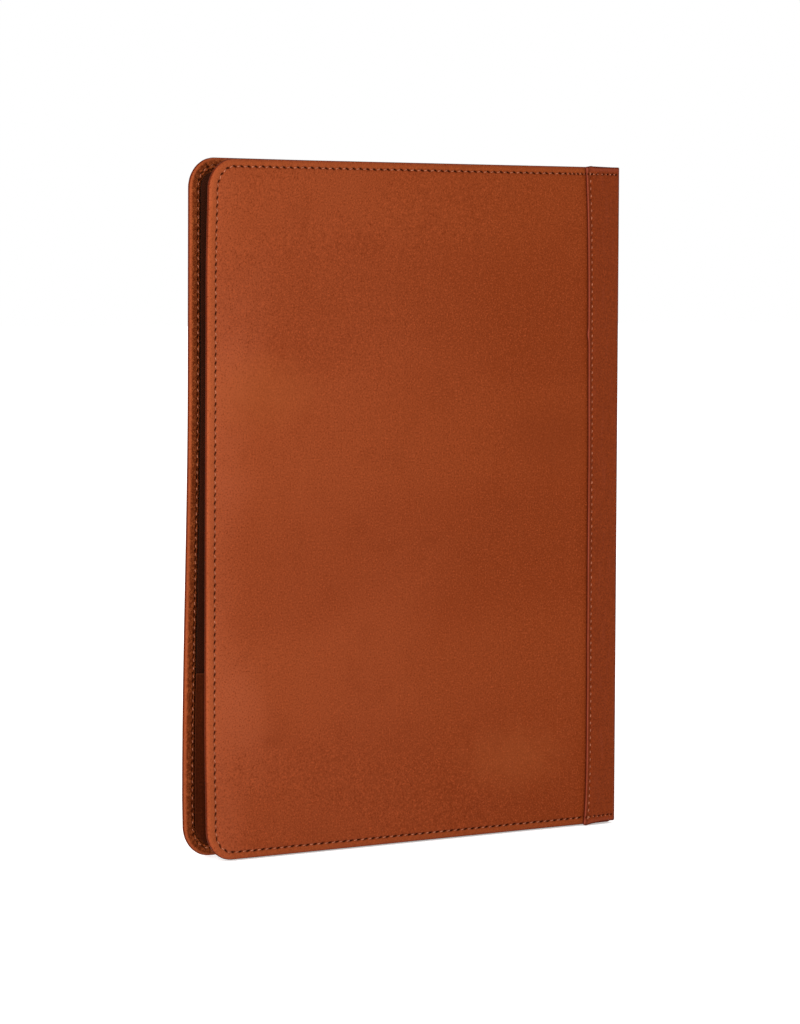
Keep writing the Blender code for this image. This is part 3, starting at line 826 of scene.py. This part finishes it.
def strip_section():
    """Half of the strip's section, from its sewn edge to the spine's middle and back inside it.
    Each point has its x and y, its outward way and how much darker it is painted: painted shade under the
    nose, rubbing with painted shade along the fold."""
    made = []

    def add(x, y, way_x=0, way_y=0, rub_shade=0):
        made.append((x, y, way_x, way_y, rub_shade))

    nose_x, nose_y = 0.5 * MM, 0.66 * MM
    for a in np.linspace(-80, 90, 13):
        cos, sin = np.cos(np.radians(a)), np.sin(np.radians(a))
        # Painted shade on the underside of the nose, where it overhangs the cover
        rub_shade = smooth(60, 22, a)
        add(STRIP_X + nose_x * (1 - cos), FACE + 0.03 * MM + nose_y * (1 + sin), -cos, sin, rub_shade)
    nose_count = len(made) - 2
    for x in np.arange(STRIP_X + nose_x + 0.3 * MM, FOLD_X, 0.4 * MM):
        add(x, STRIP_FACE + 0.04 * MM * bell(x - STRIP_X - 1.1 * MM, 1.3 * MM), 0, 1)
    for a in np.linspace(90, 0, 14):
        cos, sin = np.cos(np.radians(a)), np.sin(np.radians(a))
        # Darker along the fold: rubbing, with painted shade where it turns from the light
        rub_shade = 0.35 * smooth(80, 60, a) * smooth(10, 30, a)
        add(FOLD_X + FOLD_OUTER * cos, SPINE_HALF + FOLD_OUTER * sin, cos, sin, rub_shade)
    for y in (*np.arange(SPINE_HALF - 0.4 * MM, 0.2 * MM, -0.4 * MM), 0.0):
        add(SPINE_X, y, 1, 0)
    outer_count = len(made)
    radius = FOLD_OUTER - STRIP_THICK
    for y in (0.0, 2.2 * MM, 4.4 * MM):
        add(SPINE_X - STRIP_THICK, y)
    for a in np.radians(np.linspace(0, 90, 9)):
        add(FOLD_X + radius * np.cos(a), SPINE_HALF + radius * np.sin(a))
    for x in np.linspace(FOLD_X - 2 * MM, STRIP_X + 2 * MM, 6):
        add(x, FACE + 0.18 * MM)
    add(STRIP_X + 1.1 * MM, FACE + 0.06 * MM)
    return made, nose_count, outer_count


def make_strip_half(side):
    """Half of the strip: turned and sewn edge, flap, rounded fold, and the spine to its middle."""
    name = NAME[side]
    section, nose_count, outer_count = strip_section()
    near_end = MM * np.array([0, 0.06, 0.18, 0.36, 0.6, 0.9, 1.3, 1.8, 2.3,
                              2.7, 3.0, 3.25, 3.5, 3.75, 4.0, 4.3, 4.7])
    seam_z = SEAM_START + stitch_samples(SEAM_STITCHES, SEAM_STEP)
    middle = seam_z[(seam_z > 5 * MM) & (seam_z < HEIGHT - 5 * MM)]
    z = np.unique(np.concatenate([near_end, middle, HEIGHT - near_end]))

    grid = np.zeros((len(z), len(section), 3))
    wear_and_highlight, hole, inner, rub_and_shade = np.zeros((4, *grid.shape[:2]))
    inner[:, outer_count:] = 1
    flare = edge_flare(z)
    end = np.minimum(z, HEIGHT - z)
    thin = np.clip(1 - end / (0.75 * MM), 0, 1)
    tuck = 0.42 * MM * (1 - np.sqrt(np.clip(1 - thin**2, 0, 1)))
    nub_strength, nub_z = NUB[side]
    nub = nub_strength * bell(z - nub_z, 2.3 * MM)
    for c, (at_x, at_y, way_x, way_y, rub_shade) in enumerate(section):
        from_edge = max(at_x - STRIP_X, 0.0)
        nick = 0.5 * MM * nub * smooth(1.6 * MM, 0.3 * MM, from_edge)
        x = at_x - flare * smooth(13 * MM, 1 * MM, from_edge) - nick
        y = at_y + 0 * z
        if c < outer_count:
            on_flap = at_x < FOLD_X - 0.2 * MM and c > nose_count
            on_arc = abs(at_x - FOLD_X - 0.9 * MM) < 1.2 * MM and at_y > SPINE_HALF
            across = at_x - SEAM_X
            sunk, marks = np.zeros((2, len(z)))
            if on_flap:
                fade = smooth(0.3 * MM, 1.4 * MM, end)
                sunk += fade * (0.16 * MM * bell(across, 0.42 * MM) + 0.07 * MM * bell(across, 1.3 * MM))
                seam = needle_holes(z - SEAM_START, SEAM_STEP, across, long=0.6 * MM, wide=0.3 * MM) * fade
                sunk += 0.32 * MM * seam
                marks = 0.3 * seam
            for height in (INSET_TOP, HEIGHT - INSET_TOP):
                if c <= nose_count:
                    continue
                row, holes = z - height, 0 * z
                if at_x < FOLD_X:
                    holes = needle_holes(at_x - FLAP_STITCH_START + 0 * z, TIGHT_PITCH, row, long=0.7 * MM)
                elif at_y < SPINE_HALF:
                    holes = needle_holes(at_y + 0 * z, PITCH, row)
                groove = 0.16 * MM * bell(row, 0.42 * MM) + 0.06 * MM * bell(row, 1.3 * MM)
                sunk += groove * (0.2 if on_arc else 1.0) + 0.36 * MM * holes
                marks = np.maximum(marks, holes)
            x = x - way_x * (sunk + tuck)
            y = y - way_y * (sunk + tuck)
            hole[:, c] = np.clip(1.25 * marks, 0, 1)
            nose = bell(max(from_edge - 0.2 * MM, 0), 0.42 * MM)
            # Painted shadow of the seam's groove, a line just towards the edge from the stitches
            seam_groove_shade = 0.45 * bell(across + 1.05 * MM, 0.4 * MM) if on_flap else 0.0
            # The strip is also painted darker within a millimetre of its ends
            rub_and_shade[:, c] = np.clip(rub_shade + seam_groove_shade + 0.85 * smooth(1.0 * MM, 0.25 * MM, end), 0, 0.95)
            # Lighter along the nose: wear, and painted highlight where the fold faces the key lamp
            wear_and_highlight[:, c] = np.clip(0.72 * nose + 0.3 * smooth(3.0 * MM, 1.0 * MM, end) + 0.5 * nub * nose, 0, 1)
        elif at_x < FOLD_X:
            y = y + thin * 0.3 * MM
        bulge = 0.42 * MM * bell(x - STRIP_X - 0.6 * MM, 1.5 * MM) * smooth(3 * MM, 0.0, end)
        rise = 0.85 * MM * smooth(7 * MM, 0.0, z) * smooth(0.5 * MM, 13 * MM, from_edge)
        height = z + np.where(z > HEIGHT / 2, bulge, -bulge * 0.8) + rise
        grid[:, c] = np.column_stack([x, side * y, height])
    faces = lattice(len(z), len(section), closed=True)
    values = {"wear_and_highlight": wear_and_highlight.ravel(), "hole": hole.ravel(), "inner": inner.ravel(), "rub_and_shade": rub_and_shade.ravel()}
    piece = new_object("spine_strip_" + name + "_skin", grid.reshape(-1, 3), faces, strip_leather, values, 55)
    replaced = ["spine_strip_" + name + "_flap"] + (["spine_strip"] if side == FRONT else [])
    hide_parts(*replaced)
    end = (SPINE_X, side * (SPINE_HALF - 0.5 * MM), HEIGHT / 2)
    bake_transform(piece)


def make_seam_stitches(side):
    def on_seam(s):
        z = SEAM_START + s * SEAM_STEP
        x = SEAM_X - edge_flare(z) * smooth(13 * MM, 1 * MM, SEAM_X - STRIP_X)
        where = np.column_stack([x, side * (STRIP_FACE - 0.2 * MM) + 0 * z, z])
        return where, tiled((1, 0, 0), len(z)), tiled((0, side, 0), len(z))

    row = thread_row(on_seam, 0, SEAM_STITCHES, 0.08 * MM, lean=0.14 * MM)
    sew(NAME[side] + "_seam_stitches", [row], BODY[side], [NAME[side] + "_seam_stitching"])


def make_spine_stitches():
    for name, height in (("spine_bottom", INSET_TOP), ("spine_top", HEIGHT - INSET_TOP)):
        on_spine = straight((SPINE_X - 0.22 * MM, -2 * PITCH, height), (0, PITCH, 0), (0, 0, 1), (1, 0, 0))
        sew(name + "_stitches", [thread_row(on_spine, 0, 4, 0.06 * MM)], "spine", [name + "_stitching"])


# ---- inside


def make_board(side):
    name = NAME[side] + "_cover_board"
    low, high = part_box(name)
    outline = panel_outline(6.6 * MM, high.x)
    piece = plate(name + "_card", outline, constant(low.y), constant(high.y), stiff_card, 8 * MM, side)
    place(piece, BODY[side], [name])


def make_lining(side):
    name = NAME[side] + "_lining"
    low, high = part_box(name)
    inset = 6.3 * MM

    def skin(offset):
        return lambda x, z: side * (LINING_Y + offset) + 0.05 * MM * patch_noise(x, z, 0.05, 31 + side)

    outline = panel_outline(inset, high.x)
    piece = plate(name + "_cloth", outline, skin(0.0), skin(high.y - low.y), lining_cloth, 4 * MM, side)
    place(piece, BODY[side], [name])


def make_spine_inside():
    low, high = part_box("spine_lining")
    outline = [(low.y, low.z), (high.y, low.z), (high.y, high.z), (low.y, high.z)]
    thick = constant(high.x - low.x)
    piece = plate("spine_lining_cloth", outline, constant(0.0), thick, lining_cloth, 3 * MM)
    # It is made like the covers' plates, in x, and turned to face along the spine
    piece.data.transform(Matrix(((0, 1, 0, low.x), (1, 0, 0, 0), (0, 0, 1, 0), (0, 0, 0, 1))))
    piece.data.flip_normals()
    place(piece, "spine", ["spine_lining"])


def make_hinge_lining(side):
    """A narrow cloth hinge that joins the cover's lining to the spine's, slack when closed."""
    thick, end_gap = 0.1 * MM, 6.5 * MM
    y_cover = LINING_Y - 0.12 * MM
    x_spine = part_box("spine_lining")[0].x - 0.12 * MM
    centre_x, centre_y = END_X - 1.4 * MM, y_cover - 1.4 * MM
    path = [(x, y_cover) for x in np.linspace(END_X - 9 * MM, END_X - 1.6 * MM, 8)]
    path += [(centre_x + 1.5 * MM * math.sin(a), centre_y + 1.4 * MM * math.cos(a))
             for a in np.radians(np.linspace(10, 80, 8))]
    path += [(x_spine, y) for y in np.linspace(centre_y - 0.2 * MM, centre_y - 1.4 * MM, 3)]
    path = np.array(path)
    step = np.gradient(path, axis=0)
    normal = np.column_stack([step[:, 1], -step[:, 0]]) / np.hypot(*step.T)[:, None]
    ring = np.vstack([path + normal * thick / 2, (path - normal * thick / 2)[::-1]])
    zs = np.linspace(end_gap, HEIGHT - end_gap, 90)
    points = np.array([(x, side * y, z) for z in zs for x, y in ring])
    faces = lattice(len(zs), len(ring), closed=True)
    piece = new_object(NAME[side] + "_hinge_lining", points, faces, hinge_cloth, sharp=60)
    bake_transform(piece)


def make_pocket(node, outline, face, back, wear_and_highlight, spacing, bevel, side):
    piece = plate(node + "_skin", outline, face, back, pocket_leather, spacing, side, bevel, wear_and_highlight)
    place(piece, BODY[side], [node])


def make_pad_pocket():
    low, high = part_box("pad_pocket")
    top = high.z

    def face(x, z):
        edge = np.minimum(np.minimum(x - low.x, high.x - x), z - low.z)
        lifted = smooth(0.2 * MM, 4.5 * MM, edge)
        hem = 0.22 * MM * smooth(top - 6.3 * MM, top - 5.9 * MM, z)
        sag = 0.12 * MM * patch_noise(x, z, 0.06, 91)
        return high.y - 0.75 * MM - (high.y - 0.75 * MM - low.y - 0.25 * MM) * lifted - hem + sag * lifted

    make_pocket("pad_pocket", panel_outline(low.x - FORE_X, high.x, top), face,
                lambda x, z: face(x, z) + 0.7 * MM, lambda x, z: 0.55 * smooth(top - 1.2 * MM, top, z),
                1.5 * MM, 0.22 * MM, REAR)
    z = top - 4.6 * MM
    row = laid_on(face, thread_line((low.x + 3 * MM, 0, z), (high.x - 3 * MM, 0, z), (0, -1, 0)))
    sew("pad_pocket_stitches", settled([row], REAR), "rear_cover")


def make_document_pocket():
    low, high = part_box("document_pocket")
    edge_x = high.x

    def face(x, z):
        edge = np.minimum(np.minimum(x - low.x, high.z - z), z - low.z)
        lifted = smooth(0.2 * MM, 4.5 * MM, edge)
        hem = 0.15 * MM * smooth(edge_x - 6.3 * MM, edge_x - 5.9 * MM, x)
        return low.y + 0.55 * MM + (high.y - low.y - 0.7 * MM) * lifted + hem

    make_pocket("document_pocket", panel_outline(low.x - FORE_X, edge_x), face,
                lambda x, z: face(x, z) - 0.5 * MM, lambda x, z: 0.5 * smooth(edge_x - 1.2 * MM, edge_x, x),
                2 * MM, 0.16 * MM, FRONT)
    x = edge_x - 4.6 * MM
    row = laid_on(face, thread_line((x, 0, low.z + 2 * MM), (x, 0, high.z - 2 * MM), (0, 1, 0)))
    sew("document_pocket_stitches", settled([row], FRONT), "front_cover")


def make_card_slot(level):
    """One card slot; returns its rows of stitches."""
    node = "card_slot_" + level
    low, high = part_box(node)
    radius = 3 * MM
    outline = arc((low.x + radius, low.z + radius), radius, 180, 270, 6)
    outline += arc((high.x - radius, low.z + radius), radius, 270, 360, 6)
    outline += [(high.x, high.z), (low.x, high.z)]

    def face(x, z):
        return high.y - 0.02 * MM + 0.08 * MM * smooth(high.z - 4.2 * MM, high.z - 3.9 * MM, z)

    make_pocket(node, outline, face, constant(low.y), lambda x, z: 0.55 * smooth(high.z - 1 * MM, high.z, z),
                1.5 * MM, 0.16 * MM, FRONT)
    inset = 2.4 * MM
    left, right, bottom = low.x + inset, high.x - inset, low.z + inset
    y = high.y + 0.02 * MM

    def row(start_x, start_z, end_x, end_z, lift=0.1 * MM):
        return thread_line((start_x, y, start_z), (end_x, y, end_z), (0, 1, 0), lift)

    lowest = level == "lower"
    from_z = bottom if lowest else high.z - 16 * MM
    rows = [row(x, from_z, x, high.z - 2 * MM) for x in (left, right)]
    left, right = left + 2 * MM, right - 2 * MM
    if lowest:
        rows.append(row(left, bottom, right, bottom))
    hem_z = high.z - 2.8 * MM
    return rows + [row(left, hem_z, right, hem_z, 0.16 * MM)]


def make_card_slots():
    rows = [row for level in ("upper", "middle", "lower") for row in make_card_slot(level)]
    sew("card_slot_stitches", settled(rows, FRONT), "front_cover")


def make_pen_loop():
    """A rolled leather loop with rounded lips, on a tab sewn to the spine's lining."""
    low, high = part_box("pen_loop")
    radius = (high.y - low.y) / 2
    wall = 0.9 * MM
    tab = 0.8 * MM
    centre_x = low.x + radius
    mid, half = radius - wall / 2, wall / 2
    section = []
    for z, sign in ((high.z, 1), (low.z, -1)):
        for a in np.radians(np.linspace(0, 180, 9)):
            section.append((mid + half * math.cos(a) * sign, z + sign * (half * math.sin(a) - half)))
    longs = spaced_outline(section, 3 * MM)
    turns = 64
    points = []
    for a in math.tau * np.arange(turns) / turns:
        for r, z in longs:
            wobble = 1 + 0.012 * math.sin(3 * a + z * 90)
            points.append((centre_x + r * wobble * math.cos(a), r * math.sin(a) * (2 - wobble), z))
    faces = lattice(turns, len(longs), closed=True, joined=True)
    tab_half = 4 * MM
    base = len(points)
    tab_low = high.x - tab
    turn = np.radians(np.linspace(0, 90, 6))
    near, down = 0.4 * MM * (1 - np.cos(turn)), 0.4 * MM * (1 - np.sin(turn))
    ys = np.concatenate([near - tab_half, [0.0], (tab_half - near)[::-1]])
    inset = np.concatenate([down, [0.0], down[::-1]])
    ring = [(tab_low + i, y) for y, i in zip(ys, inset)] + [(high.x, y) for y in reversed(ys)]
    zs = np.linspace(low.z, high.z, 24)
    points += [(x, y, z) for z in zs for x, y in ring]
    faces += [tuple(i + base for i in f) for f in lattice(len(zs), len(ring), closed=True)]
    points = np.array(points)
    ends = np.minimum(points[:, 2] - low.z, high.z - points[:, 2])
    values = {"wear_and_highlight": 0.5 * smooth(0.9 * MM, 0.0, ends)}
    piece = new_object("pen_loop_skin", points, faces, pocket_leather, values, 60)
    place(piece, "spine", ["pen_loop"])
    rows = [thread_line((tab_low, y, low.z + 2 * MM), (tab_low, y, high.z - 2 * MM), (-1, 0, 0))
            for y in (-3.1 * MM, 3.1 * MM)]
    sew("pen_loop_stitches", rows, "spine")


def make_pad():
    """Loose sheets in thin layers, each a hair out of line, between the tape and the card."""
    low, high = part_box("pad_paper_block")
    pocket_low, pocket_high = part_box("pad_pocket")
    layers = 14
    thick = (high.y - low.y) / layers
    draw = np.random.default_rng(3)
    points, faces, pages = [], [], []
    for n in range(layers):
        y0 = low.y + n * thick
        y1 = y0 + thick * 0.97
        bottom = low.z if y1 < pocket_low.y - 0.2 * MM else pocket_high.z + 0.6 * MM
        dx = draw.normal(0, 0.07 * MM)
        dz = abs(draw.normal(0, 0.09 * MM))
        left, right = low.x + 0.15 * MM + dx, high.x - 0.15 * MM + dx
        corners = ((left, bottom + dz), (right, bottom + dz), (right, high.z), (left, high.z))
        base = len(points)
        points += [(x, y, z) for y in (y0, y1, y0) for x, z in corners]
        faces += [tuple(range(base + 4, base + 8)), tuple(range(base + 8, base + 12))]
        faces += [(base + k, base + (k + 1) % 4, base + 4 + (k + 1) % 4, base + 4 + k) for k in range(4)]
        pages += [0.0] * 8 + [1.0] * 4
    piece = mesh_object("pad_sheets", points, faces, paper)
    set_values(piece.data, {"page": pages})
    place(piece, "pad", ["pad_paper_block"])


def dress_cad_nodes():
    for node, material in (("pad_backing_card", backing_card), ("pad_binding_tape", tape),
                           ("spine_board", stiff_card)):
        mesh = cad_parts[node].data
        mesh.materials.clear()
        mesh.materials.append(material)


# ---- studio


def make_studio():
    half, z = 14.0, -0.6 * MM
    corners = [(-half, -half, z), (half, -half, z), (half, half, z), (-half, half, z)]
    floor = Shader("pale_floor")
    for key, value in (("Base Color", (0.93, 0.93, 0.93, 1)), ("Roughness", 0.9), ("Specular IOR Level", 0.0),
                       ("Emission Color", (1, 1, 1, 1)), ("Emission Strength", 0.45)):
        floor.principled[key].default_value = value
    mesh_object("floor", corners, [(0, 1, 2, 3)], floor.material)

    world = bpy.data.worlds.new("studio")
    bpy.context.scene.world = world
    world.use_nodes = True
    background = world.node_tree.nodes["Background"]
    background.inputs["Color"].default_value = (1, 1, 1, 1)
    background.inputs["Strength"].default_value = 1.0

    add_light("key_from_left", (-0.95, -0.45, 0.42), (0.0, 0.0, 0.17), 0.5, 9.0)


def add_light(name, where, target, size, power):
    data = bpy.data.lights.new(name, "AREA")
    data.shape = "DISK"
    data.size = size
    data.energy = power
    light = bpy.data.objects.new(name, data)
    light.location = where
    light.rotation_euler = (Vector(target) - Vector(where)).to_track_quat("-Z", "Y").to_euler()
    light.visible_camera = False
    bpy.context.scene.collection.objects.link(light)


def make_camera():
    yaw, pitch, roll = (math.radians(a) for a in (37.66, 3.315, 0.27))
    ahead = Vector((math.sin(yaw) * math.cos(pitch), math.cos(yaw) * math.cos(pitch), -math.sin(pitch)))
    right = Vector((math.cos(yaw), -math.sin(yaw), 0))
    up = right.cross(ahead)
    side_on = right * math.cos(roll) + up * math.sin(roll)
    upright = -right * math.sin(roll) + up * math.cos(roll)
    data = bpy.data.cameras.new("camera")
    data.sensor_width = 36.0
    data.lens = 148.87
    data.clip_start = 0.05
    camera = bpy.data.objects.new("camera", data)
    turn = Matrix((side_on, upright, -ahead)).transposed().to_4x4()
    camera.matrix_world = Matrix.Translation((-1.2129, -1.5645, 0.2688)) @ turn
    bpy.context.scene.collection.objects.link(camera)
    bpy.context.scene.camera = camera


make_camera()
for side in (FRONT, REAR):
    make_cover(side)
    make_perimeter_stitches(side)
    make_strip_half(side)
    make_seam_stitches(side)
    make_board(side)
    make_lining(side)
make_spine_stitches()
make_spine_inside()
for side in (FRONT, REAR):
    make_hinge_lining(side)
make_pad_pocket()
make_document_pocket()
make_card_slots()
make_pen_loop()
make_pad()
dress_cad_nodes()
make_studio()
bpy.context.scene.view_settings.view_transform = "Standard"
